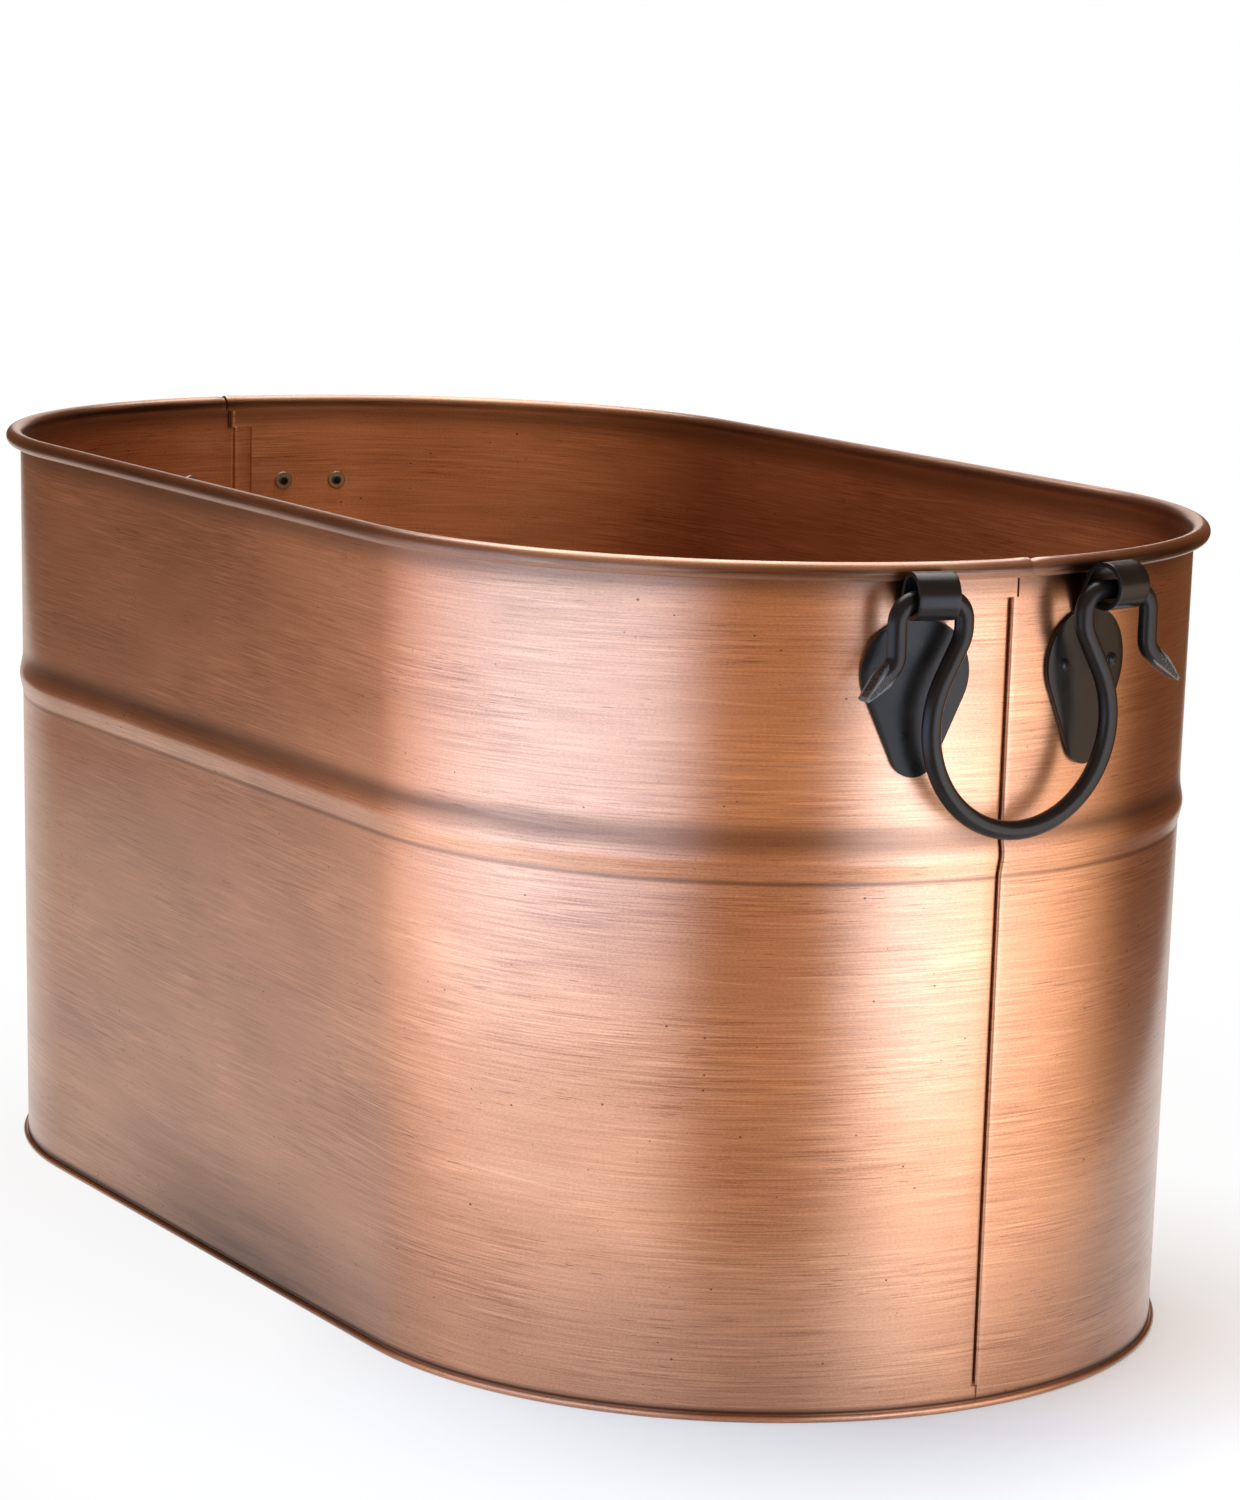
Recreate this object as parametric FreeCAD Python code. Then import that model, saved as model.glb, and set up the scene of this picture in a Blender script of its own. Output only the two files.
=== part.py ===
"""Oval firewood bucket of copper sheet, with a hinged iron bail handle at each end.

Millimetres, +Z up. The origin is on the floor at the middle of the base, and X runs along the length.
The right end is +X, the left end is -X, the front is -Y. Turned half round, the bucket is the same again.
"""
import FreeCAD, Part
import math
import os

# Bucket body
height = 305.0              # floor to the top of the rolled rim
half_straight = 142.0       # half the length of the straight sides
base_radius = 156.7         # outside of the round ends at the floor
flare = 4.2                 # how much further out the wall stands at the full height
sheet = 0.7                 # thickness of the copper sheet

# Rolled rim and the wire inside it
roll_radius = 3.4           # outside of the roll
roll_turn = 300.0           # degrees of curl, from the wall over the top and back under
wire_clearance = 0.1        # between the wire and the inside of the roll

# Ridge swaged round the wall
bead_below_rim = 104.5      # top of the rim to the crest
bead_width = 15.0           # foot to foot, up the wall
bead_proud = 1.4            # how far the crest stands out

# Hem that joins the floor to the wall
hem_proud = 2.0             # outside of the hem beyond the wall
pan_lap = 12.0              # width of the floor's edge strip inside the wall

# Lock seam between the two half sheets
seam_groove = 0.4           # open line between the sheets, seen from outside
seam_clearance = 0.1        # between folded layers, in the lock seam and in the hem
lock_width = 6.0            # width of the folded hooks
lock_below_rim = 14.0       # the hooks stop here, below the rolled rim
lock_above_floor = 8.0      # the hooks start here, above the hem
top_lap = 2.4               # how far the unfolded corner reaches past the seam line

# Iron brackets
bracket_angle = 13.0        # each bracket from the middle of the end, in degrees
bracket_sheet = 1.6         # thickness of the iron plate
bracket_seat = 0.05         # between the plate and the wall
plate_radius = 19.8         # round upper part of the plate
plate_below_rim = 39.0      # top of the rim to the middle of the round part
tail_radius = 8.5           # round tail of the plate
tail_drop = 27.6            # middle of the round part down to the middle of the tail
eye_bore = 13.6             # inside of the rolled eye
eye_width = 15.0            # width of the tongue that is rolled into the eye
eye_below_rim = 10.6        # top of the rim to the middle of the eye
eye_rim_gap = 0.5           # between the eye and the rolled rim
eye_close_gap = 0.5         # between the eye's end and its own tongue
neck_overlap = 2.3          # how far the tongue is rooted below the top of the plate

# Rivets and the washers that they are peened over inside
rivet_spread = 12.6         # each rivet from the middle of its plate, round the wall
rivet_shank = 3.0           # diameter
rivet_head = 4.8            # diameter
rivet_head_rise = 1.6
rivet_tail = 4.4            # diameter of the peened end
rivet_tail_rise = 0.8
rivet_clearance = 0.1       # shank to hole, all round
washer_diameter = 8.0
washer_thickness = 0.8
washer_seat = 0.08          # between the flat washer and the hollow of the wall

# Iron bails
rod = 6.8                   # diameter
eye_drop = 1.8              # the rod hangs this far below the middle of the eye
crown_rise = 0.5            # top of the rod's bend over the hinge line
crown_radius = 7.5          # bends where the rod passes through the eye
leg_spacing = 27.5          # between the two legs of that bend
loop_radius = 37.3          # middle of the rod in the hand loop
loop_drop = 7.1             # hinge line down to the top of the loop's circle
neck_drop = 12.4            # hinge line down to where the leg turns outward
neck_radius = 14.0
end_drop = 20.5             # hinge line down to the kink of the free end
end_length = 17.5           # kink to tip
end_angle = 47.0            # free end from straight down, in degrees
end_radius = 7.0            # bend at the kink
tip_thickness = 1.6         # flattened point of the free end
tip_taper = 10.0            # length of the flattened stretch

# Worked out from the sizes above
Z_AXIS = FreeCAD.Vector(0, 0, 1)
ORIGIN = FreeCAD.Vector(0, 0, 0)
HALF = math.degrees(math.pi)
QUARTER = HALF / 2


def wall_radius(z):
    """Outside of the round ends at height z."""
    return base_radius + flare * z / height


roll_line = roll_radius - sheet / 2
roll_z = height - roll_radius
roll_s = wall_radius(roll_z) - sheet / 2 + roll_line
seam_radius = wall_radius(height / 2)
wall_slope = math.degrees(math.atan2(flare, height))
layer = sheet + seam_clearance
flange_z = sheet + seam_clearance
hem_top = 3 * sheet + 2 * seam_clearance
hem_radius = base_radius + hem_proud
bead_z = height - bead_below_rim
notch_z = height - lock_below_rim
plate_z = height - plate_below_rim
eye_z = height - eye_below_rim
eye_outer = eye_bore / 2 + bracket_sheet
eye_line = eye_bore / 2 + bracket_sheet / 2
eye_s = roll_s + math.sqrt((eye_outer + roll_radius + eye_rim_gap) ** 2 - (roll_z - eye_z) ** 2)
eye_x = half_straight + eye_s * math.cos(math.radians(bracket_angle))
eye_y = eye_s * math.sin(math.radians(bracket_angle))
hinge_z = eye_z - eye_drop


def point(s, z):
    """A point of a radial section: s out from the end's axis, z up."""
    return FreeCAD.Vector(s, 0, z)


def polar(centre, radius, degrees):
    """A point on a circle in the radial section, 0 degrees outward and 90 up."""
    turn = math.radians(degrees)
    return centre + FreeCAD.Vector(radius * math.cos(turn), 0, radius * math.sin(turn))


def arc(centre, radius, start, sweep):
    """An arc in the radial section."""
    ends = [polar(centre, radius, start + sweep * share) for share in (0.0, 0.5, 1.0)]
    return Part.Arc(*ends).toShape()


def line(start, end):
    return Part.LineSegment(start, end).toShape()


def polygon(points):
    return Part.Face(Part.makePolygon(points + points[:1]))


def turned(shape, degrees):
    copy = shape.copy()
    copy.rotate(ORIGIN, Z_AXIS, degrees)
    return copy


def moved(shape, x, y, z):
    copy = shape.copy()
    copy.translate(FreeCAD.Vector(x, y, z))
    return copy


def joined(shapes):
    """One clean solid out of shapes that share faces."""
    return shapes[0].multiFuse(shapes[1:]).removeSplitter()


def arc_degrees(length):
    """The angle of a length measured round the wall."""
    return math.degrees(length / seam_radius)


def swung(face, start, end):
    """A radial section turned about the end's axis, from one angle to another."""
    return turned(face, start).revolve(ORIGIN, Z_AXIS, end - start)


def front_side(face):
    """A radial section run along the front's straight side."""
    start = moved(turned(face, -QUARTER), -half_straight, 0, 0)
    return start.extrude(FreeCAD.Vector(2 * half_straight, 0, 0))


def oval_ring(face):
    """A radial section run all the way round the oval."""
    side = front_side(face)
    right = moved(swung(face, -QUARTER, QUARTER), half_straight, 0, 0)
    return joined([side, right, turned(side, HALF), turned(right, HALF)])


# Wall sheets

def lower_section():
    """Wall from the flange in the hem up to where the lock seam stops, with the swaged ridge."""
    foot = bead_z - bead_width / 2
    head = bead_z + bead_width / 2
    outside = [point(hem_radius - layer, flange_z),
               point(hem_radius - layer, flange_z + sheet),
               point(wall_radius(flange_z + sheet), flange_z + sheet),
               point(wall_radius(foot), foot),
               point(wall_radius(bead_z) + bead_proud, bead_z),
               point(wall_radius(head), head),
               point(wall_radius(notch_z), notch_z)]
    inside = [FreeCAD.Vector(corner.x - sheet, 0, corner.z) for corner in reversed(outside[3:])]
    return polygon(outside + inside + [point(wall_radius(flange_z) - sheet, flange_z)])


def upper_section():
    """Top of the wall, curled outward round the rim wire."""
    centre = point(roll_s, roll_z)
    inner = roll_radius - sheet
    over = arc(centre, roll_radius, HALF, -roll_turn)
    under = arc(centre, inner, HALF - roll_turn, roll_turn)
    low_inside = point(wall_radius(notch_z) - sheet, notch_z)
    low_outside = point(wall_radius(notch_z), notch_z)
    edges = [line(low_inside, polar(centre, roll_radius, HALF)),
             over,
             line(polar(centre, roll_radius, HALF - roll_turn), polar(centre, inner, HALF - roll_turn)),
             under,
             line(polar(centre, inner, HALF), low_outside),
             line(low_outside, low_inside)]
    return Part.Face(Part.Wire(edges))


def lock_layer(outer, inner, start, end):
    """A folded layer of the seam: depths in from the wall's face, places round the wall from the seam."""
    low = lock_above_floor
    corners = [point(wall_radius(low) - outer, low), point(wall_radius(notch_z) - outer, notch_z),
               point(wall_radius(notch_z) - inner, notch_z), point(wall_radius(low) - inner, low)]
    return swung(polygon(corners), arc_degrees(start), arc_degrees(end))


def over_hook():
    """Edge of the sheet that shows at the seam: folded back under itself."""
    edge = -seam_groove / 2
    depth = 2 * layer + sheet
    return [lock_layer(0, depth, edge - sheet, edge),
            lock_layer(2 * layer, depth, edge - lock_width, edge)]


def under_hook():
    """Edge of the other sheet: dives under the first, turns back and hooks into its fold."""
    edge = seam_groove / 2
    far = -edge - lock_width - seam_clearance
    near = -edge - layer
    depth = 3 * layer + sheet
    return [lock_layer(0, depth, edge, edge + sheet),
            lock_layer(3 * layer, depth, far - sheet, edge + sheet),
            lock_layer(layer, depth, far - sheet, far),
            lock_layer(layer, layer + sheet, far - sheet, near)]


def front_wall():
    """The front half sheet: its over hook is at the right end, its under hook at the left end."""
    half_groove = arc_degrees(seam_groove / 2)
    lap = arc_degrees(top_lap)
    lower = lower_section()
    upper = upper_section()
    right = over_hook() + [swung(lower, -QUARTER, -half_groove), swung(upper, -QUARTER, lap - half_groove)]
    left = under_hook() + [swung(lower, half_groove, QUARTER), swung(upper, lap + half_groove, QUARTER)]
    pieces = [front_side(lower), front_side(upper)]
    pieces += [moved(piece, half_straight, 0, 0) for piece in right]
    pieces += [turned(moved(piece, half_straight, 0, 0), HALF) for piece in left]
    return joined(pieces)


def rim_wire():
    """Steel wire that the rim is rolled round."""
    radius = roll_radius - sheet - wire_clearance
    circle = Part.Circle(point(roll_s, roll_z), FreeCAD.Vector(0, 1, 0), radius).toShape()
    return oval_ring(Part.Face(Part.Wire([circle])))


def bottom_pan():
    """Floor sheet, its edge folded up and over the wall's flange."""
    inside = base_radius - pan_lap
    lip = wall_radius(hem_top) + seam_clearance
    section = polygon([point(inside, 0), point(hem_radius, 0), point(hem_radius, hem_top), point(lip, hem_top),
                       point(lip, hem_top - sheet), point(hem_radius - sheet, hem_top - sheet),
                       point(hem_radius - sheet, sheet), point(inside, sheet)])
    middle = Part.makeBox(2 * half_straight, 2 * inside, sheet, FreeCAD.Vector(-half_straight, -inside, 0))
    ends = [Part.makeCylinder(inside, sheet, FreeCAD.Vector(side * half_straight, 0, 0)) for side in (-1, 1)]
    return joined([oval_ring(section), middle] + ends)


# Rivets, in a frame whose X axis is the rivet's own axis and whose zero is the wall's outer face

def on_wall(shape, degrees):
    """Sets a rivet's shape square to the wall of the right end, at an angle round it."""
    copy = shape.copy()
    copy.rotate(ORIGIN, FreeCAD.Vector(0, 1, 0), wall_slope)
    return moved(turned(moved(copy, wall_radius(plate_z), 0, plate_z), degrees), half_straight, 0, 0)


def rivet_shape():
    """Domed head outside, shank, and the end peened over the washer."""
    seat = bracket_seat + bracket_sheet
    end = -sheet - washer_seat - washer_thickness
    head = rivet_head / 2
    shank = rivet_shank / 2
    tail = rivet_tail / 2
    bow = math.radians(QUARTER / 2)
    dome = Part.Arc(point(seat + rivet_head_rise, 0),
                    point(seat + rivet_head_rise * math.sin(bow), head * math.cos(bow)),
                    point(seat, head)).toShape()
    corners = [point(seat, head), point(seat, shank), point(end, shank), point(end, tail),
               point(end - rivet_tail_rise, shank), point(end - rivet_tail_rise, 0),
               point(seat + rivet_head_rise, 0)]
    edges = [dome] + [line(first, second) for first, second in zip(corners, corners[1:])]
    return Part.Face(Part.Wire(edges)).revolve(ORIGIN, FreeCAD.Vector(1, 0, 0), 2 * HALF)


def rivet_hole():
    """Hole for the shank, through the plate, the wall and the washer."""
    depth = sheet + washer_seat + washer_thickness + rivet_tail_rise
    length = depth + bracket_seat + bracket_sheet + rivet_head_rise
    return Part.makeCylinder(rivet_shank / 2 + rivet_clearance, length, point(-depth, 0), FreeCAD.Vector(1, 0, 0))


def washer_shape():
    face = -sheet - washer_seat
    disc = Part.makeCylinder(washer_diameter / 2, washer_thickness, point(face, 0), FreeCAD.Vector(-1, 0, 0))
    return disc.cut(rivet_hole())


def rivet_angles(side):
    """Where the two rivets of a bracket sit round the right end; side is -1 at the front, 1 at the back."""
    spread = math.degrees(rivet_spread / wall_radius(plate_z))
    return [side * bracket_angle - spread, side * bracket_angle + spread]


# Brackets

def plate_outline():
    """Pear shape of the plate, seen square on: two circles and their common tangents."""
    lean = math.asin((plate_radius - tail_radius) / tail_drop)
    across = math.cos(lean)
    down = math.sin(lean)
    tail_z = plate_z - tail_drop

    def spot(y, z):
        return FreeCAD.Vector(0, y, z)

    upper = spot(plate_radius * across, plate_z - plate_radius * down)
    lower = spot(tail_radius * across, tail_z - tail_radius * down)
    upper_left = spot(-upper.y, upper.z)
    lower_left = spot(-lower.y, lower.z)
    edges = [Part.Arc(upper, spot(0, plate_z + plate_radius), upper_left).toShape(),
             line(upper_left, lower_left),
             Part.Arc(lower_left, spot(0, tail_z - tail_radius), lower).toShape(),
             line(lower, upper)]
    return Part.Face(Part.Wire(edges))


def plate():
    """The plate, dished to the round of the wall."""
    low = plate_z - tail_drop - 2 * tail_radius
    high = plate_z + 2 * plate_radius
    near = bracket_seat
    far = bracket_seat + bracket_sheet
    shell = polygon([point(wall_radius(low) + near, low), point(wall_radius(low) + far, low),
                     point(wall_radius(high) + far, high), point(wall_radius(high) + near, high)])
    reach = math.degrees(2 * plate_radius / seam_radius)
    column = plate_outline().extrude(FreeCAD.Vector(2 * seam_radius, 0, 0))
    return swung(shell, -reach, reach).common(column)


def tongue():
    """Strap from the plate's top, leaning out past the rim and rolled forward into the eye."""
    eye = point(eye_s, eye_z)
    root_z = plate_z + plate_radius - neck_overlap
    root = point(wall_radius(root_z) + bracket_seat + bracket_sheet / 2, root_z)
    reach = eye - root
    tangent = math.sqrt(reach.Length ** 2 - eye_line ** 2)
    lean = math.degrees(math.atan2(reach.z, reach.x) + math.asin(eye_line / reach.Length))
    start = lean + QUARTER
    inner = eye_bore / 2
    shut = math.degrees(math.acos((inner - eye_close_gap) / eye_outer))
    sweep = shut - 2 * HALF
    along = polar(ORIGIN, tangent, lean)
    back = polar(ORIGIN, bracket_sheet / 2, start)
    edges = [line(root + back, root + along + back),
             arc(eye, eye_outer, start, sweep),
             line(polar(eye, eye_outer, start + sweep), polar(eye, inner, start + sweep)),
             arc(eye, inner, start + sweep, -sweep),
             line(root + along - back, root - back),
             line(root - back, root + back)]
    strap = Part.Face(Part.Wire(edges)).extrude(FreeCAD.Vector(0, eye_width, 0))
    return moved(strap, 0, -eye_width / 2, 0)


def bracket(side):
    """One bracket of the right end, with its rivet holes."""
    body = joined([plate(), tongue()])
    placed = moved(turned(body, side * bracket_angle), half_straight, 0, 0)
    return placed.cut([on_wall(rivet_hole(), degrees) for degrees in rivet_angles(side)])


# Bails

def rounded_path(corners, radii):
    """Edges through the corners, with an arc of the given radius at each inner corner."""
    edges = []
    last = corners[0]
    for before, corner, after, radius in zip(corners, corners[1:], corners[2:], radii):
        back = (before - corner).normalize()
        ahead = (after - corner).normalize()
        half_turn = back.getAngle(ahead) / 2
        cut = radius / math.tan(half_turn)
        bisector = (back + ahead).normalize()
        middle = corner + bisector * (radius / math.sin(half_turn) - radius)
        edges.append(line(last, corner + back * cut))
        edges.append(Part.Arc(corner + back * cut, middle, corner + ahead * cut).toShape())
        last = corner + ahead * cut
    return edges + [line(last, corners[-1])]


def loop_spot(y, drop):
    """A point in the hanging bail's plane: y across, drop below the hinge line."""
    return FreeCAD.Vector(eye_x, y, hinge_z - drop)


def end_direction():
    turn = math.radians(end_angle)
    return FreeCAD.Vector(0, math.sin(turn), -math.cos(turn))


def half_route():
    """Corners from the free end at the back, through the eye, to where the leg meets the hand loop."""
    inner = eye_y - leg_spacing / 2
    outer = eye_y + leg_spacing / 2
    kink = loop_spot(outer, end_drop)
    neck = loop_spot(inner, neck_drop)
    reach = loop_spot(0, loop_drop + loop_radius) - neck
    tangent = math.sqrt(reach.Length ** 2 - loop_radius ** 2)
    heading = math.atan2(reach.z, reach.y) + math.asin(loop_radius / reach.Length)
    meet = neck + FreeCAD.Vector(0, tangent * math.cos(heading), tangent * math.sin(heading))
    return [kink + end_direction() * end_length, kink, loop_spot(outer, -crown_rise),
            loop_spot(inner, -crown_rise), neck, meet]


def mirrored(spot):
    return FreeCAD.Vector(spot.x, -spot.y, spot.z)


def tip_cutters():
    """Wedges that flatten the back free end to a blunt point, on both of its sides."""
    tip = half_route()[0]
    along = end_direction()
    across = FreeCAD.Vector(0, along.z, -along.y)
    half = rod / 2
    depth = FreeCAD.Vector(2 * rod, 0, 0)
    wedges = []
    for side in (across, across * -1):
        corners = [tip - along * tip_taper + side * half, tip + side * (tip_thickness / 2),
                   tip + along * half + side * (tip_thickness / 2), tip + along * half + side * rod,
                   tip - along * tip_taper + side * rod]
        wedges.append(polygon([corner - depth / 2 for corner in corners]).extrude(depth))
    return wedges


def bail():
    """Bent rod of the right end's handle, hanging at rest."""
    route = half_route()
    radii = [end_radius, crown_radius, crown_radius, neck_radius]
    back_edges = rounded_path(route, radii)
    front_edges = rounded_path([mirrored(spot) for spot in reversed(route)], radii[::-1])
    low = loop_spot(0, loop_drop + 2 * loop_radius)
    loop = Part.Arc(route[-1], low, mirrored(route[-1])).toShape()
    path = Part.Wire(back_edges + [loop] + front_edges)
    ring = Part.Wire([Part.Circle(route[0], end_direction(), rod / 2).toShape()])
    body = path.makePipeShell([ring], True, False)
    print("bail", round(body.Volume, 1), "against", round(path.Length * math.pi * rod ** 2 / 4, 1))
    cutters = tip_cutters()
    cutters += [cutter.mirror(ORIGIN, FreeCAD.Vector(0, 1, 0)) for cutter in cutters]
    return body.cut(cutters)


# Nodes of both ends: each piece is made at the right end and turned half round for the left end

def wall_with_holes(wall):
    holes = [on_wall(rivet_hole(), degrees) for side in (-1, 1) for degrees in rivet_angles(side)]
    return wall.cut(holes + [turned(hole, HALF) for hole in holes])


def build():
    """Every node's solid by name."""
    front = front_wall()
    nodes = {"wall_front": wall_with_holes(front), "wall_back": wall_with_holes(turned(front, HALF)),
             "rim_wire": rim_wire(), "bottom_pan": bottom_pan()}
    right_bail = bail()
    nodes["bail_right"] = right_bail
    nodes["bail_left"] = turned(right_bail, HALF)
    for side, right_name, left_name in ((-1, "right_front", "left_back"), (1, "right_back", "left_front")):
        pieces = {"bracket_{}": bracket(side)}
        for number, degrees in enumerate(rivet_angles(side), start=1):
            pieces["rivet_{}_" + str(number)] = on_wall(rivet_shape(), degrees)
            pieces["washer_{}_" + str(number)] = on_wall(washer_shape(), degrees)
        for pattern, shape in pieces.items():
            nodes[pattern.format(right_name)] = shape
            nodes[pattern.format(left_name)] = turned(shape, HALF)
    return nodes


def single_solid(shape):
    """The one solid of a boolean's result."""
    return shape.Solids[0] if len(shape.Solids) == 1 else shape


os.makedirs("parts", exist_ok=True)
for node, shape in build().items():
    solid = single_solid(shape)
    print(node, len(shape.Solids), solid.isValid(), round(solid.Volume, 1))
    solid.exportStep("parts/" + node + ".step")
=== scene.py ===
"""Oval firewood bucket of lacquered copper sheet with hinged iron handles, in a small photo studio."""
import math

import bmesh
import bpy
from mathutils import Matrix, Vector


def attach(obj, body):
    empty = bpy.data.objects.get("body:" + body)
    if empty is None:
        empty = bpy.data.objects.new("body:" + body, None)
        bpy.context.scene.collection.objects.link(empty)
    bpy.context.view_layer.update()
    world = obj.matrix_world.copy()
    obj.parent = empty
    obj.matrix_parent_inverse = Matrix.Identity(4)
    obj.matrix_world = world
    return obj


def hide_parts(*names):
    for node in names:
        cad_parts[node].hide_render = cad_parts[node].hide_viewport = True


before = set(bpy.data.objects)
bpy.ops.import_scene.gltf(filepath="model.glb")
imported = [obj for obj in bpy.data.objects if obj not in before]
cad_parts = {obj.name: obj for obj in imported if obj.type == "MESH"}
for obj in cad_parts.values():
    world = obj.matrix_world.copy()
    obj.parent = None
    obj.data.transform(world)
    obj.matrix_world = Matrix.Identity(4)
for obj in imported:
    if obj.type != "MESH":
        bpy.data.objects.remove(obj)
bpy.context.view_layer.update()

MM = 0.001
MERGE = 0.01 * MM               # vertices nearer than this are one
NEAR = 0.02 * MM                # a vertex this near to an edge counts as on it

# The sizes below are those of the CAD part, which the pieces follow
# Bucket body
HEIGHT = 305.0 * MM             # floor to the top of the rolled rim
HALF_STRAIGHT = 142.0 * MM      # half the length of the straight sides
BASE_RADIUS = 156.7 * MM        # outside of the round ends at the floor
FLARE = 4.2 * MM                # how much further out the wall stands at the full height
SHEET = 0.7 * MM                # thickness of the copper
FOLD_GAP = 0.1 * MM             # between folded layers
LAYER = SHEET + FOLD_GAP
BEAD_Z = HEIGHT - 104.5 * MM    # crest of the swaged ridge
RIM_RADIUS = 3.4 * MM           # outside of the rolled rim
HEM_RADIUS = BASE_RADIUS + 2.0 * MM     # outside of the floor's hem
HEM_TOP = 3 * SHEET + 2 * FOLD_GAP
PAN_INSIDE = BASE_RADIUS - 12.0 * MM    # inner edge of the floor's outer strip of faces

# Lock seam between the two half sheets
LOCK_LOW = 8.0 * MM             # the hooks start here, above the hem
NOTCH_Z = HEIGHT - 14.0 * MM    # and stop here, below the rim
LOCK_WIDTH = 6.0 * MM
TOP_LAP = 2.4 * MM              # how far the corner above the hooks reaches past the seam line

# Iron brackets
BRACKET_ANGLE = 13.0            # each bracket from the middle of the end, in degrees
IRON_SHEET = 1.6 * MM
SEAT = 0.05 * MM                # between the plate and the wall
PLATE_Z = HEIGHT - 39.0 * MM    # middle of the plate's round upper part
PLATE_RADIUS = 19.8 * MM
TAIL_RADIUS = 8.5 * MM
TAIL_DROP = 27.6 * MM           # middle of the round part down to the middle of the tail
EYE_BORE = 13.6 * MM            # inside of the rolled eye
EYE_LINE = (EYE_BORE + IRON_SHEET) / 2 - NEAR   # middle of the rolled strip, kept inside the CAD eye
EYE_HALF_WIDTH = 7.5 * MM
EYE_SHUT = 41.4                 # degrees of the eye's circle that its end leaves open
EYE_Z = HEIGHT - 10.6 * MM
EYE_RIM_GAP = 0.5 * MM          # between the eye and the rolled rim

# Rivets and washers
RIVET_SPREAD = 12.6 * MM        # each rivet from the middle of its plate, round the wall
SHANK_RADIUS = 1.5 * MM
HEAD_RADIUS = 2.4 * MM
HEAD_RISE = 1.6 * MM
WASHER_FACE = -SHEET - 0.08 * MM        # from the outside of the wall to the washer
WASHER_THICKNESS = 0.8 * MM
WASHER_RADIUS = 4.0 * MM
WASHER_BORE = 1.6 * MM          # radius of the hole

# Iron bails
ROD = 6.8 * MM                  # diameter
HINGE_Z = EYE_Z - 1.8 * MM      # the rod hangs low in the eye
LEG_SPACING = 27.5 * MM         # between the two legs of the bend in the eye
CROWN_RISE = 0.5 * MM           # top of that bend over the hinge line
CROWN_RADIUS = 7.5 * MM
LOOP_RADIUS = 37.3 * MM         # middle of the rod in the hand loop
LOOP_DROP = LOOP_RADIUS + 7.1 * MM      # hinge line down to the middle of the loop
NECK_DROP = 12.4 * MM           # hinge line down to where the leg turns outward
NECK_RADIUS = 14.0 * MM
END_DROP = 20.5 * MM            # hinge line down to the kink of the free end
END_LENGTH = 17.5 * MM          # kink to tip
END_ANGLE = math.radians(47)    # free end from straight down
END_RADIUS = 7.0 * MM           # bend at the kink


def wall_radius(z):
    """Outside of the round ends at height z."""
    return BASE_RADIUS + FLARE * z / HEIGHT


# Worked out from the sizes above
SEAM_LENGTH = HALF_STRAIGHT + math.pi / 2 * BASE_RADIUS     # round the wall, from the middle of a side
RIGHT_AXIS = Vector((HALF_STRAIGHT, 0, 0))
LEFT_AXIS = Vector((-HALF_STRAIGHT, 0, 0))
RIM_Z = HEIGHT - RIM_RADIUS
RIM_S = wall_radius(RIM_Z) - SHEET + RIM_RADIUS             # middle of the rim, from the end's axis
EYE_TO_RIM = EYE_BORE / 2 + IRON_SHEET + EYE_RIM_GAP + RIM_RADIUS
EYE_S = RIM_S + math.sqrt(EYE_TO_RIM ** 2 - (RIM_Z - EYE_Z) ** 2)
BAIL_X = HALF_STRAIGHT + EYE_S * math.cos(math.radians(BRACKET_ANGLE))
EYE_Y = EYE_S * math.sin(math.radians(BRACKET_ANGLE))


# Ways of working that all pieces share

def draw(name, spots):
    """Starts a piece as one vertex and extrudes it from spot to spot; leaves it in edit mode."""
    bpy.ops.object.select_all(action="DESELECT")
    bpy.ops.mesh.primitive_plane_add(size=MM)
    piece = bpy.context.object
    piece.name = name
    piece.data.name = name
    bpy.ops.object.mode_set(mode="EDIT")
    bpy.ops.mesh.merge(type="CENTER")
    bpy.ops.transform.translate(value=spots[0])
    for last, spot in zip(spots, spots[1:]):
        bpy.ops.mesh.extrude_vertices_move(TRANSFORM_OT_translate={"value": spot - last})
    bpy.ops.mesh.select_all(action="SELECT")
    return piece


def select(piece, wanted):
    """Selects the vertices whose place passes the test, with the edges between them."""
    mesh = bmesh.from_edit_mesh(piece.data)
    for vertex in mesh.verts:
        vertex.select_set(wanted(vertex.co))
    mesh.select_flush_mode()
    bmesh.update_edit_mesh(piece.data)


def push(step):
    """Extrudes the selected line or ring by a step."""
    bpy.ops.mesh.extrude_region_move(TRANSFORM_OT_translate={"value": step})


def swing(centre, degrees, steps, axis=(0, 0, 1)):
    """Spins the selected line or ring round an axis; the operator counts its angle clockwise."""
    bpy.ops.mesh.spin(steps=steps, angle=-math.radians(degrees), center=centre, axis=axis)


def modifier(piece, kind, **settings):
    """Adds a modifier with its settings and applies it."""
    added = piece.modifiers.new(kind.lower(), kind)
    for setting, value in settings.items():
        setattr(added, setting, value)
    bpy.context.view_layer.objects.active = piece
    bpy.ops.object.modifier_apply(modifier=added.name)


def close_up():
    """Merges the doubles of the piece in hand, turns its faces outward and goes back to object mode."""
    bpy.ops.mesh.select_all(action="SELECT")
    bpy.ops.mesh.remove_doubles(threshold=MERGE)
    bpy.ops.mesh.normals_make_consistent(inside=False)
    bpy.ops.object.mode_set(mode="OBJECT")


def smooth(piece, degrees):
    """Smooth shading, with edges sharper than the angle left crisp."""
    bpy.ops.object.select_all(action="DESELECT")
    piece.select_set(True)
    bpy.context.view_layer.objects.active = piece
    bpy.ops.object.shade_smooth_by_angle(angle=math.radians(degrees))


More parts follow.
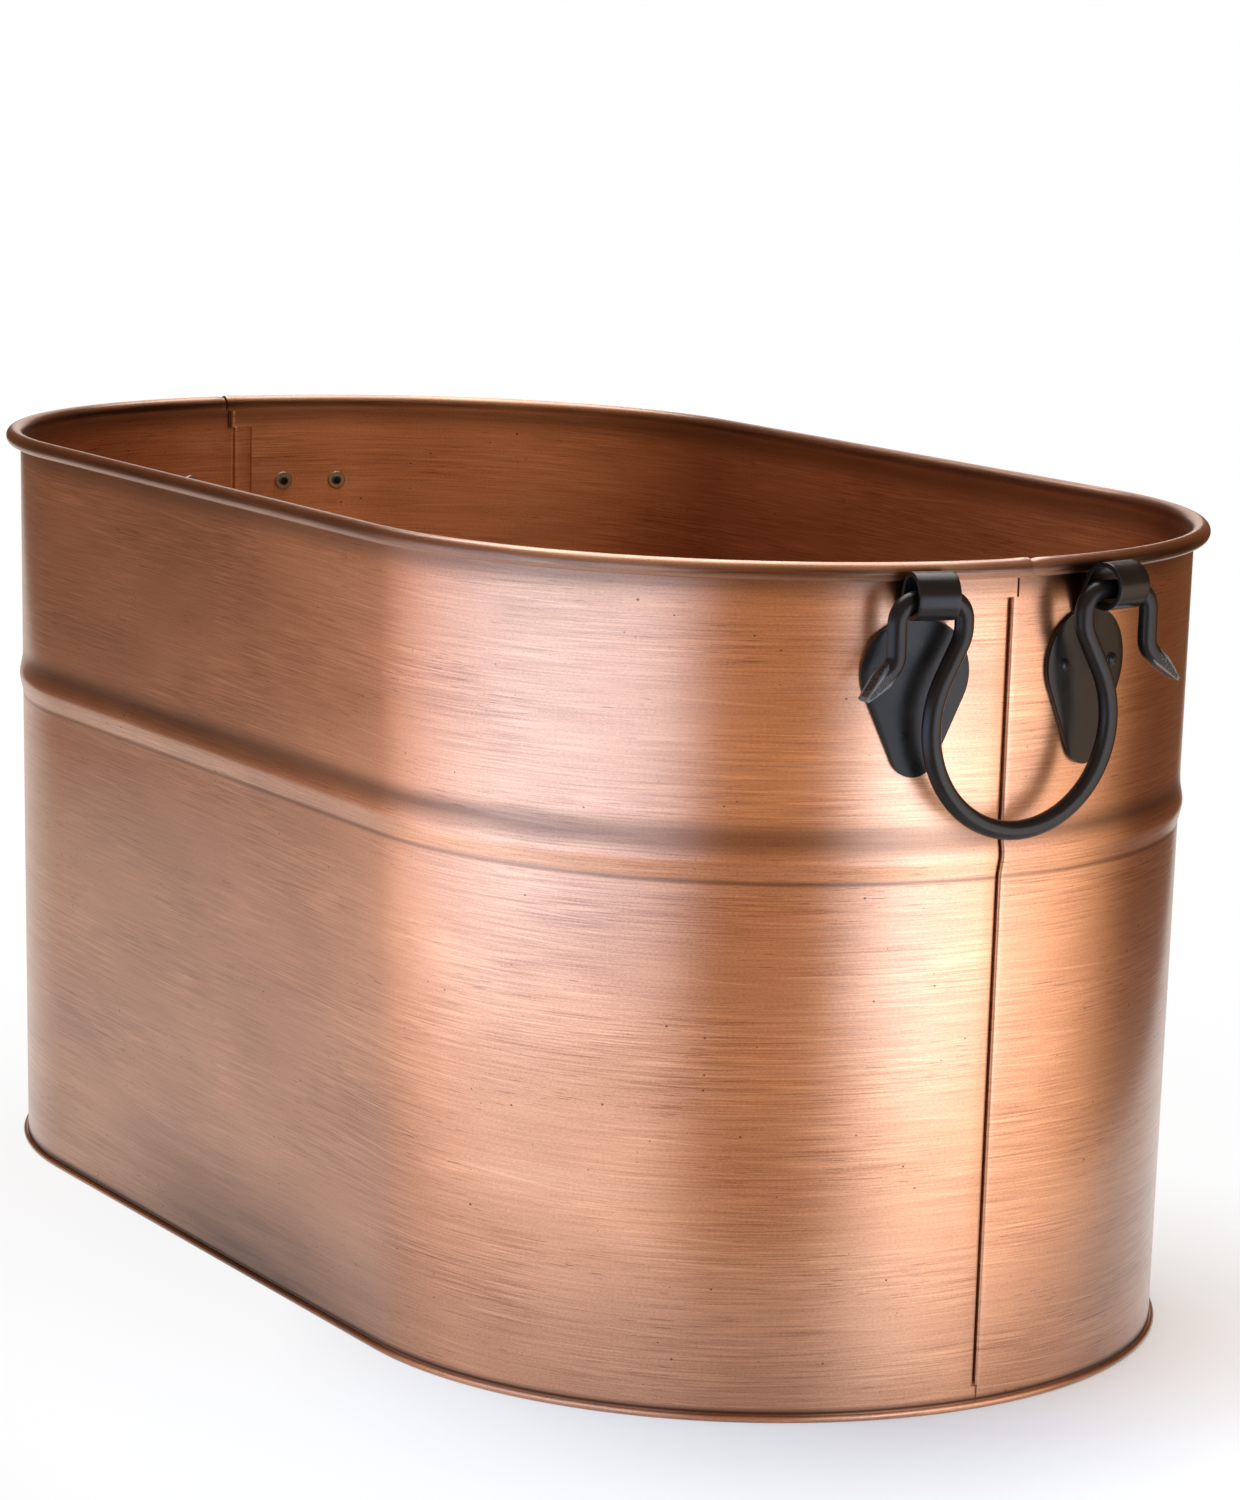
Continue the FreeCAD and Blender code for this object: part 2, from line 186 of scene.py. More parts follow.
def twin(piece, name, degrees):
    """A copy with its own mesh, turned about the middle of the bucket."""
    copy = piece.copy()
    copy.data = piece.data.copy()
    copy.name = name
    copy.data.name = name
    bpy.context.scene.collection.objects.link(copy)
    copy.data.transform(Matrix.Rotation(math.radians(degrees), 4, "Z"))
    return copy


def on_circle(centre, radius, degrees):
    """A point on a circle in a flat section, counted from the section's first direction to its second."""
    turn = math.radians(degrees)
    return (centre[0] + radius * math.cos(turn), centre[1] + radius * math.sin(turn))


# Copper sheets: one section drawn up the wall, swung round the ends and pulled along the side

GROOVE = 1.1 * MM               # open line of the seam; the fold's round edge makes it wider than in CAD
BUTT = 0.1 * MM                 # between the corners that meet below the hooks
TOP_GAP = 1.1 * MM              # between the lapping corner and the step of the sheet beside it
HOOK_STEP = 0.4 * LOCK_WIDTH    # each of the two faces of a hook
ROLL_LAP = 4.0 * MM             # how far one sheet's roll reaches past the seam, over the other's
ROLL_UNDER = 2.5 * MM           # how far the lapped roll runs on under it
LAP_PROUD = 0.25 * MM           # how much wider the lapping roll is
LAP_SWELL = (-4 * MM, 1 * MM)   # it widens between these lengths past the seam
LAP_SUNK = 0.5 * MM             # how much tighter the lapped roll is
SINK_BEFORE = 4 * MM            # it tightens from this far before the lap
SINK_OVER = 3 * MM              # and over this length
ROLL_LINE = 2.95 * MM           # middle of the sheet in the roll
ROLL_Z = HEIGHT - LAP_PROUD - ROLL_LINE - SHEET / 2
ROLL_FOOT = ROLL_Z - ROLL_LINE - 0.05 * MM
ROLL_TURN = 300                 # degrees of curl
ROLL_STEP = 12                  # degrees of each face in the roll
END_STEPS = 44                  # faces round half an end
SIDE_STEPS = 26                 # faces along a straight side
FLOOR_STEPS = 96                # faces round an end of the floor's hem
FOLD_STEPS = 6                  # faces in a fold
DIVE_STEPS = 5                  # faces in each bend where a sheet dives under the other

# Bend from the flange in the hem up into the wall: outward from the base radius and height, in millimetres
FLANGE_BEND = [(1.0, 1.15), (0.45, 1.15), (-0.05, 1.3), (-0.3, 1.75)]

# Steps that take the sheet's corner down under the lapping one, as (along, outward) in millimetres
CORNER_STEPS = [(0.1, -0.45), (0.15, -0.45), (3.0, 0.0)]

# Swaged ridge: height from the crest and how far it stands out, in millimetres
BEAD_SECTION = [(-7.9, 0.0), (-7.2, 0.03), (-6.5, 0.13), (-5.0, 0.46), (-3.4, 0.82), (-1.9, 1.15),
                (-0.9, 1.33), (0.0, 1.40), (0.9, 1.35), (2.0, 1.16), (3.4, 0.85), (5.0, 0.50),
                (6.4, 0.25), (7.8, 0.10), (9.6, 0.02), (11.5, 0.0)]

# Other rows of faces up the wall, below and above the ridge
LOW_ROWS = [4.5 * MM, LOCK_LOW] + [z * MM for z in (14, 30, 55, 85, 115, 145, 170, 186)]
HIGH_ROWS = [z * MM for z in (218, 232, 250, 268, 282)] + [NOTCH_Z, 295 * MM, ROLL_FOOT]


def sheet_section():
    """Middle of the sheet as (distance from the end's axis, height), from flange to roll."""
    rows = [(BASE_RADIUS + out * MM, up * MM) for out, up in FLANGE_BEND]
    wall = [(z, 0.0) for z in LOW_ROWS]
    wall += [(BEAD_Z + up * MM, out * MM) for up, out in BEAD_SECTION]
    wall += [(z, 0.0) for z in HIGH_ROWS]
    rows += [(wall_radius(z) - SHEET / 2 + proud, z) for z, proud in wall]
    centre = (wall_radius(ROLL_Z) - SHEET / 2 + ROLL_LINE, ROLL_Z)
    rows += [on_circle(centre, ROLL_LINE, 180 - turn) for turn in range(0, ROLL_TURN + 1, ROLL_STEP)]
    return rows


def seam_degrees(length):
    """Angle round the end for a length along the wall."""
    return math.degrees(length / wall_radius(HEIGHT / 2))


def past_seam(spot):
    """How far round the nearer end a spot is, as a length from the seam; the sheet comes from below zero."""
    axis = RIGHT_AXIS if spot.x > 0 else LEFT_AXIS
    outward = spot.x - axis.x
    return math.atan2(spot.y, abs(outward)) * wall_radius(HEIGHT / 2)


def bend(start, turn, radius, count):
    """Steps of a bend as (along, outward), from a heading of 0 degrees along the wall or 90 outward."""
    steps = []
    length = 2 * radius * math.sin(math.radians(abs(turn)) / count / 2)
    for number in range(count):
        heading = math.radians(start + turn * (number + 0.5) / count)
        steps.append((length * math.cos(heading), length * math.sin(heading)))
    return steps


def pick_edge(piece, side, low, high, length):
    """Selects a sheet's edge at a length past the seam, between two heights."""
    def on_edge(spot):
        return (spot.x * side > HALF_STRAIGHT and abs(past_seam(spot) - length) < NEAR
                and low - NEAR < spot.z < high + NEAR)

    select(piece, on_edge)


def stretch_edge(piece, side, low, high, start, end, steps):
    """Carries a sheet's edge between two heights further round the end."""
    pick_edge(piece, side, low, high, start)
    swing(RIGHT_AXIS if side > 0 else LEFT_AXIS, side * seam_degrees(end - start), steps)


def fold_edge(side, steps):
    """Folds the selected edge step by step, each step being (along, outward)."""
    for along, outward in steps:
        push(Vector((side * outward, along, 0)))


def swell_roll(piece, side, start, end, amount):
    """Opens or tightens the end of the roll, so that one sheet's roll laps over the other's."""
    mesh = bmesh.from_edit_mesh(piece.data)
    axis = RIGHT_AXIS if side > 0 else LEFT_AXIS
    middle = wall_radius(ROLL_Z) - SHEET / 2 + ROLL_LINE
    for vertex in mesh.verts:
        if vertex.co.x * side < HALF_STRAIGHT or vertex.co.z < ROLL_FOOT:
            continue
        share = min(max((past_seam(vertex.co) - start) / (end - start), 0), 1)
        outward = (vertex.co - axis) * Vector((1, 1, 0))
        centre = axis + outward.normalized() * middle + Vector((0, 0, ROLL_Z))
        vertex.co += (vertex.co - centre).normalized() * amount * share
    bmesh.update_edit_mesh(piece.data)


def copper_sheet(name):
    """The front half sheet, its folded edge over the seam at the right end and under it at the left end."""
    piece = draw(name, [Vector((HALF_STRAIGHT, -s, z)) for s, z in sheet_section()])
    edge = -GROOVE / 2 - SHEET / 2
    hook_back = [(-HOOK_STEP, 0)] * 2

    # Right end, where the sheet is folded back under itself
    start = edge - LAYER
    swing(RIGHT_AXIS, 90 + seam_degrees(start), END_STEPS)
    stretch_edge(piece, 1, 0, LOCK_LOW, start, -BUTT / 2, 2)
    stretch_edge(piece, 1, NOTCH_Z, HEIGHT, start, TOP_LAP, 3)
    stretch_edge(piece, 1, ROLL_FOOT, HEIGHT, TOP_LAP, ROLL_LAP, 4)
    pick_edge(piece, 1, LOCK_LOW, NOTCH_Z, start)
    fold_edge(1, bend(0, -180, LAYER, FOLD_STEPS) + hook_back)
    swell_roll(piece, 1, *LAP_SWELL, LAP_PROUD)

    # Straight side
    select(piece, lambda spot: abs(spot.x - HALF_STRAIGHT) < MERGE and spot.y < -PAN_INSIDE)
    for step in range(SIDE_STEPS):
        push(Vector((-2 * HALF_STRAIGHT / SIDE_STEPS, 0, 0)))

    # Left end, where the sheet dives under the other one and hooks back into its fold
    roll_stop = -ROLL_LAP - SINK_BEFORE
    swing(LEFT_AXIS, -90 - seam_degrees(roll_stop), END_STEPS - 2)
    stretch_edge(piece, -1, ROLL_FOOT, HEIGHT, roll_stop, -ROLL_LAP + ROLL_UNDER, 4)
    stretch_edge(piece, -1, NOTCH_Z, ROLL_FOOT, roll_stop, -TOP_LAP - TOP_GAP, 3)
    fold_edge(-1, [(along * MM, outward * MM) for along, outward in CORNER_STEPS])
    dive = 1.5 * LAYER
    start = edge - dive
    stretch_edge(piece, -1, 0, NOTCH_Z, roll_stop, start, 4)
    stretch_edge(piece, -1, 0, LOCK_LOW, start, -BUTT / 2, 2)
    pick_edge(piece, -1, LOCK_LOW, NOTCH_Z, start)
    fold_edge(-1, bend(0, -90, dive, DIVE_STEPS) + bend(-90, 90, dive, DIVE_STEPS)
              + [(LOCK_WIDTH / 2, 0)] * 2 + bend(0, 180, LAYER, FOLD_STEPS) + hook_back)
    swell_roll(piece, -1, roll_stop, roll_stop + SINK_OVER, -LAP_SUNK)
    close_up()
    brush_map(piece)
    modifier(piece, "SOLIDIFY", thickness=SHEET, offset=0.0, use_even_offset=True)
    smooth(piece, 40)
    return piece


def from_middle(spot):
    """How far a spot is from the line between the axes of the two ends."""
    return math.hypot(max(abs(spot.x) - HALF_STRAIGHT, 0), spot.y)


def brush_map(piece, flat_inside=0.0):
    """Lays the piece out in metres as (length along the brush strokes, height).

    Faces nearer to the middle than flat_inside are laid out as seen from above.
    """
    layout = piece.data.uv_layers.new(name="brush")
    for face in piece.data.polygons:
        flat = from_middle(face.center) < flat_inside
        for loop in face.loop_indices:
            spot = piece.data.vertices[piece.data.loops[loop].vertex_index].co
            along = spot.x
            if abs(spot.x) > HALF_STRAIGHT:
                along = math.copysign(SEAM_LENGTH + past_seam(spot), spot.x)
            layout.data[loop].uv = (spot.x, 0.5 + spot.y) if flat else (along, spot.z)


def copper_floor(name):
    """Floor sheet with its edge folded up and over the wall's flange into a rounded hem."""
    fold_line = (HEM_TOP - SHEET) / 2
    centre = (HEM_RADIUS - SHEET / 2 - fold_line, HEM_TOP / 2)
    rows = [(PAN_INSIDE, SHEET / 2), (0.97 * BASE_RADIUS, SHEET / 2)]
    rows += [on_circle(centre, fold_line, turn) for turn in range(-90, 91, 18)]
    rows += [(BASE_RADIUS + 0.3 * MM, HEM_TOP - SHEET / 2)]
    piece = draw(name, [Vector((HALF_STRAIGHT, -s, z)) for s, z in rows])
    for axis in (RIGHT_AXIS, LEFT_AXIS):
        swing(axis, 180, FLOOR_STEPS)
        push(-2 * axis)
    bpy.ops.mesh.select_all(action="SELECT")
    bpy.ops.mesh.remove_doubles(threshold=MERGE)
    select(piece, lambda spot: from_middle(spot) < PAN_INSIDE + 0.1 * MM)
    bpy.ops.mesh.edge_face_add()
    close_up()
    brush_map(piece, BASE_RADIUS)
    modifier(piece, "SOLIDIFY", thickness=SHEET, offset=0.0, use_even_offset=True)
    smooth(piece, 40)
    return piece


# Iron brackets: one strip, extruded row by row from the plate's tail to the end of the rolled eye

TAIL_ROWS = 9
PLATE_ROWS = 15
EYE_ROWS = 31
ACROSS = 12                     # faces across the strip
TAIL_START = -86.0              # degrees; the strip starts just beside the tail's lowest point
RUB_ANGLE = 18.0                # paint is rubbed at edges sharper than this, and fully at twice the angle


def rub_map(piece, worn=None):
    """Notes at each vertex how far its paint is rubbed, by its sharpest edge; worn adds to that by place."""
    mesh = bmesh.new()
    mesh.from_mesh(piece.data)
    rubbed = mesh.verts.layers.float.new("rubbed")
    for vertex in mesh.verts:
        sharpest = max(edge.calc_face_angle(0) for edge in vertex.link_edges)
        vertex[rubbed] = min(max(math.degrees(sharpest) / RUB_ANGLE - 1, 0), 1)
        if worn:
            vertex[rubbed] = max(vertex[rubbed], worn(vertex.co))
    mesh.to_mesh(piece.data)
    mesh.free()


def bracket_rows():
    """Rows up the strip as (distance from the end's axis, height, half width)."""
    lean = math.degrees(math.asin((PLATE_RADIUS - TAIL_RADIUS) / TAIL_DROP))
    shoulder = math.degrees(math.acos(EYE_HALF_WIDTH / PLATE_RADIUS))
    arcs = ((PLATE_Z - TAIL_DROP, TAIL_RADIUS, TAIL_START, -lean, TAIL_ROWS),
            (PLATE_Z, PLATE_RADIUS, -lean, shoulder, PLATE_ROWS))
    rows = []
    for middle, radius, start, end, count in arcs:
        for number in range(count):
            width, z = on_circle((0, middle), radius, start + (end - start) * number / (count - 1))
            rows.append((wall_radius(z) + SEAT + IRON_SHEET / 2, z, width))

    # Neck, straight from the plate to the eye, and the eye
    neck_s, neck_z, neck_width = rows[-1]
    reach = Vector((EYE_S - neck_s, EYE_Z - neck_z))
    away = math.degrees(math.atan2(reach.y, reach.x) + math.asin(EYE_LINE / reach.length))
    turn = 360 - EYE_SHUT
    first = on_circle((EYE_S, EYE_Z), EYE_LINE, away + 90)
    for share in (0.12, 0.35, 0.65):
        rows.append((neck_s + (first[0] - neck_s) * share, neck_z + (first[1] - neck_z) * share, neck_width))
    for number in range(EYE_ROWS):
        s, z = on_circle((EYE_S, EYE_Z), EYE_LINE, away + 90 - turn * number / (EYE_ROWS - 1))
        rows.append((s, z, neck_width))
    return rows


def iron_bracket(name):
    """Plate and eye of one bracket, square to the right end's middle."""
    rows = bracket_rows()
    s, z, width = rows[0]
    piece = draw(name, [Vector((s, width * (2 * number / ACROSS - 1), z)) for number in range(ACROSS + 1)])
    for last, row in zip(rows, rows[1:]):
        push(Vector((row[0] - last[0], 0, row[1] - last[1])))
        bpy.ops.transform.resize(value=(1, row[2] / last[2], 1), center_override=(row[0], 0, row[1]))

    # The plate is hollowed to the wall's round end
    plate_top = rows[TAIL_ROWS + PLATE_ROWS - 1][1]
    mesh = bmesh.from_edit_mesh(piece.data)
    for vertex in mesh.verts:
        if vertex.co.z < plate_top + MERGE:
            turn = vertex.co.y / vertex.co.x
            vertex.co = Vector((vertex.co.x * math.cos(turn), vertex.co.x * math.sin(turn), vertex.co.z))
    bmesh.update_edit_mesh(piece.data)
    close_up()
    modifier(piece, "SOLIDIFY", thickness=IRON_SHEET, offset=0.0, use_even_offset=True)
    modifier(piece, "BEVEL", width=0.4 * MM, segments=2, limit_method="ANGLE", angle_limit=math.radians(50))
    rub_map(piece)
    smooth(piece, 40)
    return piece


# Rivets and washers, turned about their own axis

TURNED_STEPS = 28               # faces round a rivet or washer
BURR = 0.15 * MM                # rounding of a washer's edges where the punch went in
BREAK = 0.25 * MM               # and where it broke through

# Peened end of a rivet, as (distance beyond the washer, radius) in millimetres
PEENED_END = [(0.0, 2.0), (0.25, 2.2), (0.6, 1.9), (0.8, 1.1), (0.8, 0.0)]


def turned(name, spots):
    """A small round piece from its half section, given as (along the axis, radius)."""
    piece = draw(name, [Vector((along, 0, radius)) for along, radius in spots])
    bpy.ops.mesh.spin(steps=TURNED_STEPS, angle=2 * math.pi, center=(0, 0, 0), axis=(1, 0, 0))
    close_up()
    rub_map(piece)
    smooth(piece, 45)
    return piece


def iron_rivet(name):
    """Domed head outside, shank, and the end peened over its washer inside."""
    seat = SEAT + IRON_SHEET
    tail = WASHER_FACE - WASHER_THICKNESS
    spots = [(seat + HEAD_RISE * math.sin(math.radians(turn)), HEAD_RADIUS * math.cos(math.radians(turn)))
             for turn in (90, 75, 60, 45, 30, 15, 4)]
    spots += [(seat, HEAD_RADIUS - 0.1 * MM), (seat, SHANK_RADIUS), (tail, SHANK_RADIUS)]
    spots += [(tail - beyond * MM, radius * MM) for beyond, radius in PEENED_END]
    return turned(name, spots)


def steel_washer(name):
    """Flat washer with the rounded edges of a stamping."""
    face = WASHER_FACE
    far = face - WASHER_THICKNESS
    ring = [(face, WASHER_BORE), (face, WASHER_RADIUS - BURR), (face - BURR, WASHER_RADIUS),
            (far + BREAK, WASHER_RADIUS), (far, WASHER_RADIUS - BREAK), (far, WASHER_BORE + BURR),
            (far + BURR, WASHER_BORE), (face, WASHER_BORE)]
    return turned(name, ring)


def set_on_wall(piece, name, degrees):
    """A copy of a rivet or washer, square to the wall of the right end at an angle round it."""
    slope = math.atan2(FLARE, HEIGHT)
    copy = twin(piece, name, 0)
    copy.data.transform(
        Matrix.Translation(RIGHT_AXIS) @ Matrix.Rotation(math.radians(degrees), 4, "Z")
        @ Matrix.Translation((wall_radius(PLATE_Z), 0, PLATE_Z)) @ Matrix.Rotation(slope, 4, "Y"))
    return copy


# Iron bails: a ring pulled and swung along the bent rod, from the bottom of the hand loop to a free end

ROD_SIDES = 24
LOOP_STEPS = 34                 # faces along half the hand loop
BEND_STEPS = 10                 # faces along each bend
TIP_FLAT = 12.5 * MM            # length of the hammered stretch
TIP_STEPS = 9                   # faces along it
TIP_FROM = 50 * MM              # the free ends lie further than this from the middle of the handle
TIP_SQUARING = 0.2              # share of the stretch over which the rod goes square
TIP_SQUARE = 0.9                # width of that square against the rod's diameter
TIP_THINNED = 0.8               # share of the thickness that is gone at the tip
TIP_WIDENED = 0.1               # share of the width that the thinning adds
TIP_NARROWED = 0.45             # how fast the outer half narrows again
WORN_FROM = 2 * MM              # paint is worn from this far beyond the outer leg
WORN_OVER = 5 * MM              # length over which it would be worn off
WORN_MOST = 0.45                # share at which the wear stops


def bail_corners():
    """Corners of half the rod in its hanging plane as ((y, z), radius of the bend), and the tip."""
    inner = EYE_Y - LEG_SPACING / 2
    outer = EYE_Y + LEG_SPACING / 2
    top = HINGE_Z + CROWN_RISE
    neck = Vector((inner, HINGE_Z - NECK_DROP))
    kink = Vector((outer, HINGE_Z - END_DROP))
    tip = kink + END_LENGTH * Vector((math.sin(END_ANGLE), -math.cos(END_ANGLE)))
    return [(neck, NECK_RADIUS), (Vector((inner, top)), CROWN_RADIUS), (Vector((outer, top)), CROWN_RADIUS),
            (kink, END_RADIUS)], tip


def iron_bail(name):
    """The hanging handle of the right end."""
    corners, tip = bail_corners()
    neck = corners[0][0]
    middle = Vector((0, HINGE_Z - LOOP_DROP))
    reach = neck - middle
    loop_end = math.degrees(math.atan2(reach.y, reach.x) - math.acos(LOOP_RADIUS / reach.length))
    bpy.ops.object.select_all(action="DESELECT")
    bpy.ops.mesh.primitive_circle_add(vertices=ROD_SIDES, radius=ROD / 2, rotation=(math.pi / 2, 0, 0),
                                      location=(BAIL_X, middle.x, middle.y - LOOP_RADIUS))
    piece = bpy.context.object
    bpy.ops.object.transform_apply(location=True, rotation=True, scale=True)
    piece.name = name
    piece.data.name = name
    bpy.ops.object.mode_set(mode="EDIT")
    bpy.ops.mesh.select_all(action="SELECT")
    swing((BAIL_X, middle.x, middle.y), loop_end + 90, LOOP_STEPS, axis=(1, 0, 0))
    here = Vector(on_circle(middle, LOOP_RADIUS, loop_end))
    places = [corner for corner, radius in corners] + [tip]
    for number, (corner, radius) in enumerate(corners):
        back = (here - corner).normalized()
        ahead = (places[number + 1] - corner).normalized()
        half = back.angle(ahead) / 2
        cut = radius / math.tan(half)
        run = corner + back * cut - here
        for step in range(2):
            push(Vector((0, run.x / 2, run.y / 2)))
        centre = corner + (back + ahead).normalized() * (radius / math.sin(half))
        turn = 180 - math.degrees(back.angle(ahead))
        left_turn = (corner - here).cross(places[number + 1] - corner) > 0
        swing((BAIL_X, centre.x, centre.y), turn if left_turn else -turn, BEND_STEPS, axis=(1, 0, 0))
        here = corner + ahead * cut
    forge_tip(piece, here, tip)
    close_up()
    modifier(piece, "MIRROR", use_axis=(False, True, False), merge_threshold=0.05 * MM)
    bpy.ops.object.mode_set(mode="EDIT")
    close_up()

    # Paint is worn towards the free ends
    worn_from = EYE_Y + LEG_SPACING / 2 + WORN_FROM
    rub_map(piece, lambda spot: min(max((abs(spot.y) - worn_from) / WORN_OVER, 0), WORN_MOST))
    smooth(piece, 35)
    return piece


def forge_tip(piece, here, tip):
    """Draws the free end out to the tip and hammers it square and then to a chisel, with crisp corners."""
    heading = (tip - here).normalized()
    along = Vector((0, heading.x, heading.y))
    across = Vector((0, heading.y, -heading.x))
    run = tip - heading * TIP_FLAT - here
    push(Vector((0, run.x, run.y)))
    for step in range(TIP_STEPS):
        push(along * TIP_FLAT / TIP_STEPS)
    bpy.ops.mesh.edge_face_add()
    mesh = bmesh.from_edit_mesh(piece.data)
    base = Vector((BAIL_X, tip.x, tip.y)) - along * TIP_FLAT
    for vertex in mesh.verts:
        offset = vertex.co - base
        share = min(max(offset.dot(along) / TIP_FLAT, 0), 1)
        if vertex.co.y < TIP_FROM or share == 0 or offset.length > 2 * TIP_FLAT:
            continue
        thick = offset.dot(across)
        wide = vertex.co.x - BAIL_X
        corner = max(abs(thick), abs(wide), MERGE)
        squared = min(share / TIP_SQUARING, 1)
        square = 1 + squared * (TIP_SQUARE * math.hypot(thick, wide) / corner - 1)
        vertex.co += across * thick * (square * (1 - TIP_THINNED * share) - 1)
        widened = 1 + TIP_WIDENED * share - TIP_NARROWED * max(share - 0.5, 0)
        vertex.co.x = BAIL_X + wide * square * widened
    bmesh.update_edit_mesh(piece.data)


# Materials

def linear(code):
    """Linear colour of an sRGB hex value."""
    shares = [int(code[place:place + 2], 16) / 255 for place in (1, 3, 5)]
    return tuple(share / 12.92 if share <= 0.04045 else ((share + 0.055) / 1.055) ** 2.4
                 for share in shares) + (1,)


def node(tree, kind, inputs=None, **settings):
    """Adds a node and returns its outputs; inputs maps a socket to a value or to the output that feeds it."""
    added = tree.nodes.new("ShaderNode" + kind)
    for setting, value in settings.items():
        setattr(added, setting, value)
    for socket, value in (inputs or {}).items():
        if isinstance(value, bpy.types.NodeSocket):
            tree.links.new(value, added.inputs[socket])
        else:
            added.inputs[socket].default_value = value
    return added.outputs


def new_material(name):
    """A material without nodes, and its tree."""
    material = bpy.data.materials.new(name)
    material.use_nodes = True
    material.node_tree.nodes.clear()
    return material, material.node_tree


def band(tree, reading, middle, reach, share):
    """A soft line of patina or shine: the share at the middle of a reading, nothing past its reach."""
    offset = node(tree, "Math", {0: reading, 1: middle}, operation="SUBTRACT")[0]
    away = node(tree, "Math", {0: offset}, operation="ABSOLUTE")[0]
    return node(tree, "MapRange", {0: away, 1: reach, 2: 0.0, 3: 0.0, 4: share},
                interpolation_type="SMOOTHSTEP")[0]


# Layers of the brushed finish, as (mm along the strokes, mm across them, detail, how the layer lies)
# Real hairlines are about 0.2 mm apart; they are drawn at 0.6 mm, the finest that the picture shows
BRUSHWORK = {
    "hairs": (28, 0.6, 2, "wandering"),
    "strokes": (50, 1.5, 2, "wandering"),
    "grit": (1.1, 0.6, 1, "straight"),
    "streaks": (150, 10, 3, "wandering"),
    "clouds": (110, 50, 2, "straight"),
    "ripples": (35, 12, 2, "wandering"),
    "bite": (90, 30, 1, "wandering"),
    "dashes": (12, 0.6, 1, "wandering"),
    "groups": (50, 20, 1, "straight"),
    "scratches": (80, 1.3, 0, "slanting"),
}
STROKE_DEPTHS = {"hairs": 0.42, "strokes": 0.22}                # deeper where the pad bit
EVEN_DEPTHS = {"grit": 0.16, "streaks": 0.1, "clouds": 0.32}    # the same all over
DARKEST, PALEST = 0.38, 0.80    # sums of those layers that give the darkest and the palest copper
WANDER_LENGTH = 250 * MM        # strokes wander up and down by a few millimetres over a hand's length
WANDER_HEIGHT = 10 * MM
SCRATCH_SLANT = math.radians(3.5)
SPECK_SPACING = (4.5 * MM, 3.6 * MM)    # along the strokes and across them

# Patina and painted shade up the wall, as (height of the middle, reach, share at the middle), in mm up the
# wall
# over the rolled rim and under it patina and painted shade, above the ridge patina and painted shade, at the
# ridge's foot and over the hem painted shade, last darker towards the foot
PATINA_AND_PAINTED_SHADE = [(301.3, 4.5, 1.15), (297.0, 9.0, 0.75), (208.0, 8.0, 0.8), (192.6, 1.6, 0.7), (3.6, 2.6, 0.9),
          (0.0, 80.0, 0.27)]

# A painted dark reflection, painted shade and a painted highlight, as (middle, reach, share at the middle)
DARK_REFLECTION_BY_HEIGHT = (0.0, 65 * MM, 0.95)       # by height, a painted dark reflection at the long sides' foot
DARK_REFLECTION_BY_LENGTH = (35 * MM, 240 * MM, 1.0)   # the same by length along the wall
HEM_SHADE_LINE = (HEM_TOP + 0.8 * MM, 2.0 * MM, 1.0)          # by height, painted shade in the gap just over the hem
SEAM_HIGHLIGHT_LINE = (1.0 * MM - SEAM_LENGTH, 1.0 * MM, 1.1)   # by length along the wall, a painted highlight on the ledge beside the fold

# Painted shade in the grooves and gaps where the sheets meet, as (length along the wall, reach in mm, share,
# from height, to height)
SEAM_SHADE_LINES = [(SEAM_LENGTH, 2.5, 0.85, LOCK_LOW, NOTCH_Z),
           (TOP_LAP + 0.3 * MM - SEAM_LENGTH, 1.4, 0.95, NOTCH_Z, ROLL_FOOT),
           (ROLL_LAP + 0.3 * MM - SEAM_LENGTH, 1.4, 0.95, ROLL_FOOT, HEIGHT),
           (0.7 * MM - SEAM_LENGTH, 0.8, 0.95, 1 * MM, LOCK_LOW)]


